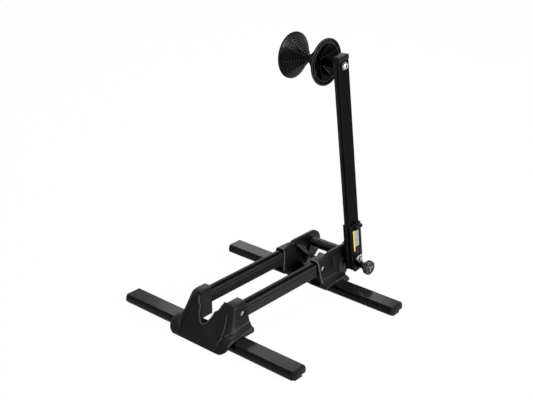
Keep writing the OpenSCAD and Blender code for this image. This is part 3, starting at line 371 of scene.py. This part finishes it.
# Painted shade: a dull near-black put in sockets and thread gaps, which makes them read as deep
painted_shade = moulded("painted_socket_shade", "#040404", "#0a0a0a", roughness=0.5, grain_mm=0.4,
                     bump=0.1, specular=0.05)
# Rubber of the soles: dull and dusty beside the glossy bars
pad_rubber = solid_rubber("solid_rubber_pads", "#0a0a0b", "#151515")
# Films of the decal: a warm yellow and a cool pale grey
yellow_film = vinyl_film("yellow_vinyl_film", "#cdb62c", "#c2a91f")
pale_film = vinyl_film("pale_vinyl_film", "#8d8c92", "#7a7980")

FINISH = {
    "front_foot_bar": alloy_feet, "rear_foot_bar": alloy_feet,
    "front_foot_caps": cap_nylon, "rear_foot_caps": cap_nylon,
    "front_foot_pads": pad_rubber, "rear_foot_pads": pad_rubber,
    "front_bracket": bracket_nylon, "rear_bracket": bracket_nylon,
    "left_rail": alloy_rails, "right_rail": alloy_rails,
    "front_rail_screws": zinc, "rear_rail_screws": zinc,
    "front_foot_bolts": zinc, "rear_foot_bolts": zinc, "foot_bolt_nuts": zinc,
    "pivot_bolt": zinc, "pivot_nut": zinc, "pivot_washers": coated_steel,
    "lobe_bushes": bush_nylon, "spring_sleeve": coated_steel, "torsion_spring": spring_steel,
    "arm_channel": channel_steel, "arm_tube": alloy_arm, "arm_top_cap": cap_nylon,
    "channel_rivets": coated_steel, "channel_bush": bush_nylon, "side_peg": cap_nylon,
    "lock_housing": coated_steel, "lock_pin": zinc, "lock_pin_spring": spring_steel,
    "lock_knob": knob_nylon, "left_cone": cone_nylon, "right_cone": cone_nylon,
    "roller_bushes": bush_nylon, "roller_axle": zinc, "roller_nut": zinc,
    "roller_spacer": coated_steel, "roller_washers": zinc,
}
for name, node in nodes.items():
    node.data.materials.clear()
    node.data.materials.append(FINISH[name])
BODY_OF = {n: body for body, members in frame["record"]["behaviour"]["bodies"].items() for n in members}

# Angles in degrees under which faces shade as one, edges stay sharp and flats are merged
BEAD_ANGLE = 60
FILM_ANGLE = 35
EDGE_ANGLE = 32
CORNER_ANGLE = 30
FLAT_ANGLE = 0.5
DOUBLES_MM = 0.01
SIDES = ((-1, "left"), (1, "right"))


# Helpers for making pieces
def select_only(*pieces):
    bpy.ops.object.select_all(action="DESELECT")
    for piece in pieces:
        piece.select_set(True)
    if pieces:
        bpy.context.view_layer.objects.active = pieces[0]


def active():
    return bpy.context.view_layer.objects.active


def settle(piece, name, material, carrier, angle=BEAD_ANGLE, rides=True):
    """Applies a piece's place to its mesh, smooths it, and gives it a finish and its carrier's body.

    A piece that is blended between two bodies rides on neither.
    """
    select_only(piece)
    bpy.ops.object.transform_apply(location=True, rotation=True, scale=True)
    bpy.ops.object.shade_smooth_by_angle(angle=math.radians(angle))
    piece.name = name
    piece.data.name = name
    piece.data.materials.clear()
    piece.data.materials.append(material)
    if rides:
        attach(piece, BODY_OF[carrier])


def round_edges(piece, width_mm, segments=1, angle=CORNER_ANGLE):
    """Bevels those edges of the active piece that are sharper than an angle in degrees."""
    bevel = piece.modifiers.new("edge", "BEVEL")
    bevel.width = width_mm * MM
    bevel.segments = segments
    bevel.limit_method = "ANGLE"
    bevel.angle_limit = math.radians(angle)
    bpy.ops.object.modifier_apply(modifier="edge")


def dressed(node_name, width_mm, segments):
    """A copy of a moulded or pressed solid, with its sharp edges rounded as the tool leaves them."""
    piece = bpy.data.objects.new(node_name + "_dressed", nodes[node_name].data.copy())
    bpy.context.scene.collection.objects.link(piece)
    select_only(piece)
    bpy.ops.object.mode_set(mode="EDIT")
    bpy.ops.mesh.select_all(action="SELECT")
    bpy.ops.mesh.remove_doubles(threshold=DOUBLES_MM * MM)
    bpy.ops.mesh.dissolve_limited(angle_limit=math.radians(FLAT_ANGLE))
    bpy.ops.object.mode_set(mode="OBJECT")
    round_edges(piece, width_mm, segments, EDGE_ANGLE)
    settle(piece, node_name + "_dressed", FINISH[node_name], node_name, EDGE_ANGLE)
    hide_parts(node_name)


def strand(places_mm, radius_mm, facets=3, kind="NURBS"):
    """A round strand along a list of places, made as a path with a bevel and turned into a mesh."""
    select_only()
    bpy.ops.curve.primitive_nurbs_path_add()
    path = active().data
    path.splines.clear()
    line = path.splines.new(kind)
    line.points.add(len(places_mm) - 1)
    for point, place in zip(line.points, places_mm):
        point.co = (*(Vector(place) * MM), 1)
    if kind == "NURBS":
        line.order_u = 3
        line.use_endpoint_u = True
    path.resolution_u = 4
    path.bevel_depth = radius_mm * MM
    path.bevel_resolution = facets
    path.use_fill_caps = True
    bpy.ops.object.convert(target="MESH")
    return active()


def joined(pieces):
    """Several pieces as one object."""
    select_only(*pieces)
    bpy.ops.object.join()
    return active()


def round_about(centre, x, radius, degrees):
    """A place in millimetres on a circle round an axis along X."""
    a = math.radians(degrees)
    return centre + Vector((x, radius * math.cos(a), radius * math.sin(a)))


def ring(centre, x, radius, wire_r, step, start=0.0):
    """A closed ring round an axis along X, with a corner every so many degrees."""
    places = [round_about(centre, x, radius, start + step * i) for i in range(360 // step + 1)]
    return strand(places, wire_r, 2, "POLY")


# Camera, fitted to the photograph
AZIMUTH, ELEVATION, ROLL = math.radians(41.63), math.radians(23.218), math.radians(-0.376)
EYE = Vector((0.93769, -1.05823, 0.79322))
FOCAL_PX, FRAME_W = 982.12, 533.0
SENSOR_W, CLIP_START = 36.0, 0.01
back = Vector((math.sin(AZIMUTH) * math.cos(ELEVATION), -math.cos(AZIMUTH) * math.cos(ELEVATION),
               math.sin(ELEVATION)))
level_right = Vector((math.cos(AZIMUTH), math.sin(AZIMUTH), 0))
level_up = back.cross(level_right)
right = level_right * math.cos(ROLL) + level_up * math.sin(ROLL)
up = level_up * math.cos(ROLL) - level_right * math.sin(ROLL)
lens = bpy.data.cameras.new("camera")
camera = bpy.data.objects.new("camera", lens)
bpy.context.scene.collection.objects.link(camera)
camera.matrix_world = Matrix(((right.x, up.x, back.x, EYE.x), (right.y, up.y, back.y, EYE.y),
                              (right.z, up.z, back.z, EYE.z), (0, 0, 0, 1)))
lens.sensor_width = SENSOR_W
lens.lens = FOCAL_PX * SENSOR_W / FRAME_W
lens.clip_start = CLIP_START
bpy.context.scene.camera = camera

# Torsion spring: its coil, the left leg's foot on the bracket's web, and the right leg's hook
WIRE = 3.4
COIL_R = 7.6
COIL_LEFT, COIL_RIGHT = -25.6, 32.6
TURNS = 14
TURN_FACETS = 24
START_A, END_A = 164.0, 144.0
LEG_GAP = 0.3
WEB_TILT = math.radians(32)
WEB_REACH, WEB_FOOT_Z = 36.5, 4.0
LEG_FOOT_Z = 27.7
LEG_RISE = Vector((9, 17, 23.2))
CHANNEL_FRONT = 14.9
HOOK_H = 31
HOOK_STEPS = (3, 6)


def wire_route():
    """The spring's centre line about the pivot: left leg, coil, right leg and hook."""
    steps = TURN_FACETS * TURNS
    turn = 360 * TURNS + START_A - END_A
    coil = [round_about(Vector(), COIL_LEFT + (COIL_RIGHT - COIL_LEFT) * i / steps, COIL_R,
                        START_A - turn * i / steps) for i in range(steps + 1)]
    first, last = coil[0], coil[-1]
    wire_clear = WIRE / 2 + LEG_GAP
    web_y = WEB_REACH - (LEG_FOOT_Z - WEB_FOOT_Z) * math.tan(WEB_TILT) + wire_clear / math.cos(WEB_TILT)
    foot = Vector((COIL_LEFT, web_y + REAR_Y - PIVOT.y, LEG_FOOT_Z - PIVOT.z))
    hook_y = (CHANNEL_FRONT + wire_clear) / math.cos(lean) - HOOK_H * math.tan(lean)
    left_leg = [foot + (first - foot) * share for share in (0, 0.3, 0.6, 0.88)]
    right_leg = [last + LEG_RISE * share for share in (0.1, 0.4, 0.75, 1)]
    hook_xs = [right_leg[-1].x + step for step in HOOK_STEPS] + [tube_middle]
    return left_leg + coil + right_leg + [Vector((x, hook_y, HOOK_H)) for x in hook_xs]


spring = strand([place + PIVOT for place in wire_route()], WIRE / 2, 4, "POLY")
settle(spring, "torsion_spring_wire", spring_steel, "torsion_spring", rides=False)
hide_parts("torsion_spring")
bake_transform(spring)

# Rounded copies of the mouldings, the channel and the nuts: edge widths in millimetres
BRACKET_EDGES = {"front_bracket": 1.5, "rear_bracket": 1.2}
SMALL_EDGES = {"front_foot_caps": 0.5, "rear_foot_caps": 0.5, "arm_channel": 0.3, "arm_top_cap": 0.5,
               "side_peg": 0.5, "lock_knob": 0.45, "pivot_nut": 0.6, "roller_axle": 0.3,
               "roller_nut": 0.5, "left_cone": 0.2, "right_cone": 0.2}
for edges, segments in ((BRACKET_EDGES, 3), (SMALL_EDGES, 2)):
    for node_name, width in edges.items():
        dressed(node_name, width, segments)

# Front bracket: its slanting face as the solid has it, and its beads' routes on the right side
FACE_TILT = math.radians(32)
FACE_REACH = 33.5
APRON_GAP = 4.0
# Half widths and heights of the wheel notch, of the face's ridge and of the horn, which lies deeper in
NOTCH = [(4.5, 32), (12.75, 43.7), (14.4, 49.5), (15, 52.2), (20.0, 54.8), (22.8, 59.6), (23.4, 63.2)]
RIDGE = [(38.5, 7), (40.5, 15), (42.4, 22), (43.6, 29), (42.8, 37), (41.2, 44), (39.8, 50), (38.2, 56),
         (36.4, 61)]
HORN = [(33.5, 62, 4.5), (34.5, 57, 3.7), (37, 46, 3.6), (39.5, 33, 3.6), (41.5, 24, 4), (43, 17, 5.1)]
# Places along the gutter over the rail's tunnel and along the lip of the flange
GUTTER = [(40.6, -162.6, 18.1), (47.4, -154.5, 26.8), (52.1, -143.1, 31.1), (53.7, -128.3, 32.5),
          (52.9, -113.7, 33.3), (52.7, -104.9, 33.7)]
LIP = [(60.6, -160.6, 17.6), (61.3, -153.0, 21.8), (61.3, -139.8, 23.4), (61.3, -123.2, 24.5),
       (60.5, -105.2, 26.0)]
BEAD_R, GUTTER_BEAD_R, HORN_R = 0.9, 1.0, 5.0
RIDGE_OUT = 0.1
NOTCH_FLOOR = 30.9
NOTCH_BEAD_R, NOTCH_BEAD_OUT, NOTCH_BEAD_DROP = 1.4, 0.7, 0.4
TEETH, TOOTH_Z, TOOTH_PITCH = 8, 36.5, 3.5
TOOTH_R, TOOTH_SINK = 1.15, 0.5
TOOTH_DEPTHS = (0.6, 2.5, 4.6)


def on_face(x, z, out=0.0):
    """A place on the front bracket's slanting face, by its height, standing out from it."""
    slope = (z - APRON_GAP) / math.cos(FACE_TILT)
    y = FRONT_Y - FACE_REACH - out * math.cos(FACE_TILT) + slope * math.sin(FACE_TILT)
    return Vector((x, y, z + out * math.sin(FACE_TILT)))


def notch_x(z):
    """Half width of the front notch at a height."""
    for (xa, za), (xb, zb) in zip(NOTCH, NOTCH[1:]):
        if z <= zb:
            return xa + (xb - xa) * (z - za) / (zb - za)
    return NOTCH[-1][0]


def notch_bead():
    """The rounded lip round the wheel notch."""
    half = [(x + NOTCH_BEAD_OUT, z - NOTCH_BEAD_DROP) for x, z in NOTCH]
    edge = [(-x, z) for x, z in reversed(half)] + [(0, NOTCH_FLOOR)] + half
    bead = strand([on_face(x, z) for x, z in edge], NOTCH_BEAD_R, 4)
    # Its light grey paints a highlight along the lip
    settle(bead, "front_notch_bead", edge_highlight_nylon, "front_bracket")


def flank_bead(side, name, route, radius, bracket):
    """A bead along a bracket's flank, on a route that is given for the right side."""
    bead = strand([(side * x, y, z) for x, y, z in route], radius)
    # Light grey on the bead paints a highlight along it
    settle(bead, name, edge_highlight_nylon, bracket)


def front_flank(side, word):
    """One flank of the front bracket: ridge, swelling horn, beads and the notch's teeth."""
    ridge = strand([on_face(side * x, z, RIDGE_OUT) for x, z in RIDGE], BEAD_R)
    # Light grey on the ridge paints a highlight along it
    settle(ridge, word + "_face_ridge", edge_highlight_nylon, "front_bracket")
    swell = strand([on_face(side * x, z, -deep) for x, z, deep in HORN], HORN_R, 7)
    settle(swell, word + "_horn_swell", bracket_nylon, "front_bracket")
    flank_bead(side, word + "_gutter_bead", GUTTER, GUTTER_BEAD_R, "front_bracket")
    flank_bead(side, word + "_flange_bead", LIP, BEAD_R, "front_bracket")
    teeth = []
    for i in range(TEETH):
        z = TOOTH_Z + TOOTH_PITCH * i
        x = side * (notch_x(z) - TOOTH_SINK)
        teeth.append(strand([on_face(x, z, -deep) for deep in TOOTH_DEPTHS], TOOTH_R, 2, "POLY"))
    settle(joined(teeth), word + "_notch_ribs", bracket_nylon, "front_bracket")


notch_bead()
for side, word in SIDES:
    front_flank(side, word)

# Rear bracket: the outline of a tunnel's mouth by distance from the middle and height, and the beads
MOUTH_Y = 73.0
MOUTH = [(28.4, 24), (28.3, 40), (28.2, 56), (28.5, 61.4), (30.4, 63.8), (34, 63.9), (40.2, 63.9),
         (42.8, 63.2), (44.9, 61.2), (45.6, 58.2), (47.6, 50), (49.6, 42), (51.3, 35), (53.2, 32),
         (54.4, 29)]
MOUTH_BEAD_R = 1.2
REAR_GUTTER = [(53.2, 73.2, 32.6), (53.3, 86.4, 33.0), (52.9, 99.4, 33.3), (52.8, 113.8, 33.3)]
REAR_LIP = [(60.4, 73.2, 20.3), (61.3, 79.7, 21.3), (61.3, 89.6, 22.4), (61.3, 100.6, 23.2),
            (61.3, 111.2, 24.0), (61.0, 123.3, 23.5)]
for side, word in SIDES:
    mouth = strand([(side * x, MOUTH_Y, z) for x, z in MOUTH], MOUTH_BEAD_R)
    # Light grey on the mouth's bead paints a highlight round the tunnel's mouth
    settle(mouth, word + "_mouth_bead", rim_highlight_nylon, "rear_bracket")
    flank_bead(side, word + "_rear_gutter_bead", REAR_GUTTER, BEAD_R, "rear_bracket")
    flank_bead(side, word + "_rear_flange_bead", REAR_LIP, BEAD_R, "rear_bracket")

# Roller: radius and distance from its middle plane at the neck and at the slope's end, and its brim
CONE_NECK = (7.4, 4.0)
CONE_SLOPE = (31.1, 29.4)
CONE_R = 37.1
CONE_REACH = 33.4
CONE_STEPS = 8
CONE_RIBS = 8
RING_STEP = 5
TREAD_R, TREAD_SINK = 0.3, 0.1
TREAD_R_SHARE, TREAD_X_SHARE = 0.85, 0.75
RIB_R, RIB_NECK_SINK, RIB_SLOPE_SINK = 0.55, 0.2, 0.4
BRIM_BEAD_R, BRIM_BEAD_IN = 0.75, 1.0
WELL_BEAD_R, WELL_BEAD_IN = 0.6, 1.2
WEB_BEAD_R, WEB_BEAD_IN, WEB_BEAD_SINK = 0.7, 1.6, 1.1
BRIM_SINK = 0.1


def on_roller(radius, x, degrees):
    return round_about(ROLLER, x, radius, degrees + ARM_LEAN)


def cone_treads(side, word):
    """The fine steps and ribs on a cone's slope, which grip the tyre."""
    (neck_r, neck_x), (slope_r, slope_x) = CONE_NECK, CONE_SLOPE
    treads = []
    for i in range(CONE_STEPS):
        radius = neck_r + (i + TREAD_R_SHARE) / CONE_STEPS * (slope_r - neck_r) - TREAD_SINK
        x = neck_x + (i + TREAD_X_SHARE) / CONE_STEPS * (slope_x - neck_x)
        treads.append(ring(ROLLER, side * x, radius, TREAD_R, RING_STEP, ARM_LEAN))
    for i in range(CONE_RIBS):
        angle = 360 * i / CONE_RIBS
        ends = [on_roller(neck_r, side * (neck_x - RIB_NECK_SINK), angle),
                on_roller(slope_r, side * (slope_x - RIB_SLOPE_SINK), angle)]
        treads.append(strand(ends, RIB_R, 2, "POLY"))
    # Light grey on the steps and ribs paints their highlights
    settle(joined(treads), word + "_cone_treads", rib_highlight_nylon, word + "_cone")


def cone_rim(side, word):
    """The beads round a cone's brim and well, and the ends of the webs between them."""
    well_r = CONE_SLOPE[0] - WELL_BEAD_IN
    brim_x = side * (CONE_REACH - BRIM_SINK)
    web_x = side * (CONE_REACH - WEB_BEAD_SINK)
    rims = [ring(ROLLER, brim_x, CONE_R - BRIM_BEAD_IN, BRIM_BEAD_R, RING_STEP, ARM_LEAN),
            ring(ROLLER, brim_x, well_r, WELL_BEAD_R, RING_STEP, ARM_LEAN)]
    for i in range(CONE_RIBS):
        angle = 360 * (i + 0.5) / CONE_RIBS
        ends = [on_roller(well_r, web_x, angle), on_roller(CONE_R - WEB_BEAD_IN, web_x, angle)]
        rims.append(strand(ends, WEB_BEAD_R, 2, "POLY"))
    # Light grey on the beads and web ends paints their highlights
    settle(joined(rims), word + "_cone_rim", rib_highlight_nylon, word + "_cone")


for side, word in SIDES:
    cone_treads(side, word)
    cone_rim(side, word)

# Knob's face with its glint and shade ring, and painted shade round the pivot bolt and in the axle's hexagon
# socket
FINE_STEP = 10
KNOB_WEB_R, KNOB_WEB_SINK = 1.1, 0.4
KNOB_WEB_ANGLES = (20, 140, 260)
KNOB_WEB_REACH = (0.6, 6.4)
KNOB_SHADE_AT, KNOB_SHADE_R, KNOB_SHADE_SINK = 8.2, 0.4, 0.1
THREAD_AT, THREAD_R, THREAD_OUT = 4.2, 0.45, 0.1
SOCKET_R, SOCKET_T, SOCKET_DEPTH, SOCKET_EDGE = 2.2, 0.5, 1.3, 0.1


def knob_web():
    """The three spokes on the knob's face."""
    x = knob_face - KNOB_WEB_SINK
    spokes = [strand([round_about(KNOB_AXIS, x, radius, angle) for radius in KNOB_WEB_REACH],
                     KNOB_WEB_R, 3, "POLY") for angle in KNOB_WEB_ANGLES]
    # Pale grey on the spokes paints a glint on the knob's face
    settle(joined(spokes), "knob_face_web", knob_glint_nylon, "lock_knob")


def socket_shade_plug():
    """A dark hexagon at the bottom of the axle head's socket: painted shade."""
    select_only()
    place = ROLLER + Vector((axle_end - SOCKET_DEPTH, 0, 0))
    bpy.ops.mesh.primitive_cylinder_add(vertices=6, radius=SOCKET_R * MM, depth=SOCKET_T * MM,
                                        rotation=(0, math.pi / 2, 0), location=place * MM)
    shade_plug = active()
    round_edges(shade_plug, SOCKET_EDGE)
    settle(shade_plug, "axle_socket_shade", painted_shade, "roller_axle", FILM_ANGLE)


knob_web()
# A dark ring paints shade round the edge of the knob's face
knob_shade_ring = ring(KNOB_AXIS, knob_face - KNOB_SHADE_SINK, KNOB_SHADE_AT, KNOB_SHADE_R, FINE_STEP)
settle(knob_shade_ring, "knob_face_shade_ring", painted_shade, "lock_knob")
# A dark ring on the nut's face paints shade round the bolt's end
thread_shade_ring = ring(PIVOT, nut_face + THREAD_OUT, THREAD_AT, THREAD_R, FINE_STEP)
settle(thread_shade_ring, "pivot_thread_shade", painted_shade, "pivot_nut")
socket_shade_plug()

# Decal on the channel's outer face: a plain yellow band and a plain pale panel
FILM_T = 0.12
FILM_CORNER = 0.5


def decal(name, material, low, high, front, rear):
    """A strip of film between two heights and two depths along the leaning arm, in millimetres."""
    select_only()
    bpy.ops.mesh.primitive_cube_add(size=1, location=(0, 0, 0))
    piece = active()
    piece.scale = (FILM_T * MM, (rear - front) * MM, (high - low) * MM)
    bpy.ops.object.transform_apply(scale=True)
    round_edges(piece, FILM_CORNER, 3)
    y, z = (front + rear) / 2, (low + high) / 2
    piece.rotation_euler = (lean, 0, 0)
    piece.location = ((channel_outer + FILM_T / 2) * MM,
                      (PIVOT.y + y * math.cos(lean) - z * math.sin(lean)) * MM,
                      (PIVOT.z + y * math.sin(lean) + z * math.cos(lean)) * MM)
    settle(piece, name, material, "arm_channel", FILM_ANGLE)


decal("decal_yellow_band", yellow_film, low=15.5, high=54.5, front=-8.2, rear=-4.4)
decal("decal_pale_panel", pale_film, low=22.5, high=54.5, front=-4.0, rear=6.0)

# Floor: pale paint that keeps the object's shadow and shows white to the camera and in reflections
FLOOR_SIZE = 12
FLOOR_WHITE = 0.98
select_only()
bpy.ops.mesh.primitive_plane_add(size=FLOOR_SIZE, location=(0, 0, 0))
floor = active()
floor.name = "floor"
floor_paint, tree, shader = new_material("pale_studio_floor")
shader.inputs["Base Color"].default_value = linear("#f4f4f4")
shader.inputs["Roughness"].default_value = 0.9
shader.inputs["Specular IOR Level"].default_value = 0.0
paths = add(tree, "ShaderNodeLightPath").outputs
seen = add(tree, "ShaderNodeMath", links={0: paths["Is Camera Ray"], 1: paths["Is Glossy Ray"]},
           operation="MAXIMUM")
whitened = add(tree, "ShaderNodeMath", {1: FLOOR_WHITE}, {0: seen.outputs[0]}, operation="MULTIPLY")
glow = add(tree, "ShaderNodeEmission", {"Color": grey(1.0), "Strength": 1.0})
mix = add(tree, "ShaderNodeMixShader",
          links={0: whitened.outputs[0], 1: shader.outputs[0], 2: glow.outputs[0]})
tree.links.new(mix.outputs[0], tree.nodes["Material Output"].inputs["Surface"])
floor.data.materials.append(floor_paint)

# World: white to the camera, in reflections and through glass, and a soft fill for the rest
SOFT_FILL = 0.27
world = bpy.data.worlds.new("studio")
bpy.context.scene.world = world
world.use_nodes = True
tree = world.node_tree
tree.nodes.clear()
paths = add(tree, "ShaderNodeLightPath").outputs
clear = add(tree, "ShaderNodeMath", links={0: paths["Is Camera Ray"], 1: paths["Is Glossy Ray"]},
            operation="MAXIMUM")
clear = add(tree, "ShaderNodeMath", links={0: clear.outputs[0], 1: paths["Is Transmission Ray"]},
            operation="MAXIMUM")
white = add(tree, "ShaderNodeBackground", {"Color": grey(1.0), "Strength": 1.0})
soft = add(tree, "ShaderNodeBackground", {"Color": grey(1.0), "Strength": SOFT_FILL})
both = add(tree, "ShaderNodeMixShader",
           links={0: clear.outputs[0], 1: soft.outputs[0], 2: white.outputs[0]})
tree.links.new(both.outputs[0], add(tree, "ShaderNodeOutputWorld").inputs["Surface"])


# Lamps: places and sizes in metres, power in watts
def softbox(name, place, aim_height, size, power):
    """A square lamp that looks at a height above the middle of the stand."""
    light = bpy.data.lights.new(name, "AREA")
    light.shape = "SQUARE"
    light.size = size
    light.energy = power
    lamp = bpy.data.objects.new(name, light)
    bpy.context.scene.collection.objects.link(lamp)
    lamp.location = place
    lamp.rotation_euler = (Vector((0, 0, aim_height)) - Vector(place)).to_track_quat("-Z", "Y").to_euler()


softbox("overhead_softbox", (-0.2, 0.8, 1.9), aim_height=0.1, size=0.8, power=22)
softbox("right_softbox", (1.9, 0.35, 0.95), aim_height=0.15, size=0.7, power=46)
softbox("left_softbox", (-1.7, -1.0, 1.1), aim_height=0.15, size=0.6, power=2)
softbox("back_softbox", (-1.4, 1.6, 1.0), aim_height=0.1, size=0.9, power=6)

bpy.context.scene.view_settings.view_transform = "Standard"
